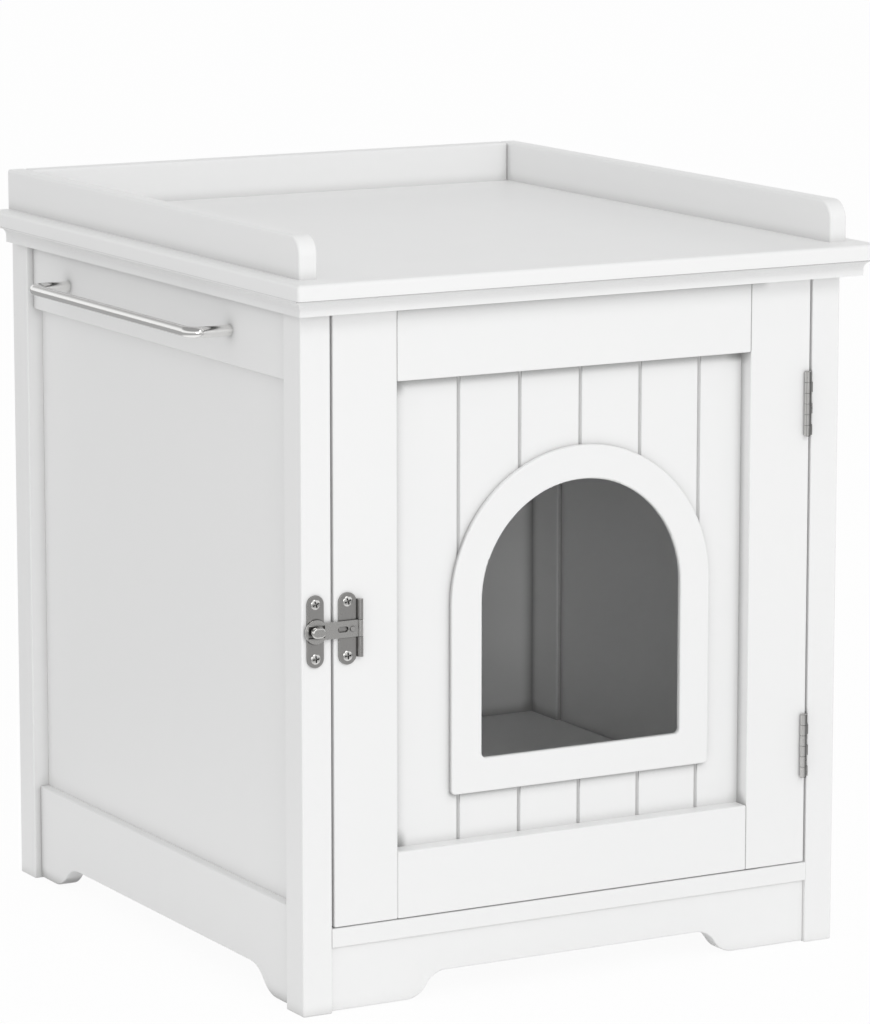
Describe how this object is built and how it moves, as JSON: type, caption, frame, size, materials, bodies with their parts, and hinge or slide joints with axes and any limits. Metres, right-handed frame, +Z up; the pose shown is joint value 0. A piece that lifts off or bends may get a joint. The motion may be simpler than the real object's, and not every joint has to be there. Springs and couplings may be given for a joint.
{
  "type": "cat litter cabinet",
  "caption": "White panelled cabinet with an arched cat opening in its hinged bead-board door, a gallery round the top and a towel bar on one side.",
  "frame": {"origin": "on the floor under the middle of the carcass, half way between the posts' outer faces", "axes": "+Z up, +Y to the back, +X to the hinge side of the door, which is the right for someone who faces the door"},
  "size_m": [0.5248, 0.5463, 0.5945],
  "materials": {
    "white_paint": "satin white paint on board",
    "beech": "bare dowel",
    "nickel_plate": "satin nickel plate",
    "screw_steel": "plated screw",
    "bar_steel": "polished steel rod"
  },
  "bodies": {
    "cabinet": {"back_batten_left": "white_paint", "back_batten_right": "white_paint", "back_bottom_rail": "white_paint", "back_panel": "white_paint", "back_top_rail": "white_paint", "door_stop": "white_paint", "floor_board": "white_paint", "floor_cleat_left": "white_paint", "floor_cleat_right": "white_paint", "frame_dowels": "beech", "front_apron": "white_paint", "front_ledge": "white_paint", "front_stretcher": "white_paint", "gallery_back": "white_paint", "gallery_left": "white_paint", "gallery_right": "white_paint", "hinge_leaves_post": "nickel_plate", "hinge_pins": "nickel_plate", "hinge_screws_post": "screw_steel", "latch_post_plate": "nickel_plate", "latch_post_screws": "screw_steel", "moulding_front": "white_paint", "moulding_left": "white_paint", "moulding_right": "white_paint", "post_front_left": "white_paint", "post_front_right": "white_paint", "post_rear_left": "white_paint", "post_rear_right": "white_paint", "side_bottom_rail_left": "white_paint", "side_bottom_rail_right": "white_paint", "side_panel_left": "white_paint", "side_panel_right": "white_paint", "side_top_rail_left": "white_paint", "side_top_rail_right": "white_paint", "top_board": "white_paint", "towel_bar": "bar_steel", "towel_bar_screws": "screw_steel"},
    "door": {"door_stile_left": "white_paint", "door_stile_right": "white_paint", "door_top_rail": "white_paint", "door_bottom_rail": "white_paint", "door_panel": "white_paint", "arch_trim": "white_paint", "door_dowels": "beech", "hinge_leaves_door": "nickel_plate", "hinge_screws_door": "screw_steel", "hasp_plate": "nickel_plate", "hasp_pin": "nickel_plate", "latch_door_screws": "screw_steel"},
    "hasp": {"hasp_arm": "nickel_plate"},
    "staple": {"turn_staple": "nickel_plate"}
  },
  "joints": [
    {"name": "door_hinge", "type": "hinge", "parent": "cabinet", "child": "door", "pos_m": [0.2074, -0.26, 0.2992], "axis": [0, 0, 1], "range_deg": [0, 170]},
    {"name": "hasp_hinge", "type": "hinge", "parent": "door", "child": "hasp", "pos_m": [-0.1898, -0.2596, 0.2967], "axis": [0, 0, 1], "range_deg": [0, 170]},
    {"name": "staple_turn", "type": "hinge", "parent": "cabinet", "child": "staple", "pos_m": [-0.227, -0.257, 0.2967], "axis": [0, 1, 0], "range_deg": [0, 90]}
  ]
}
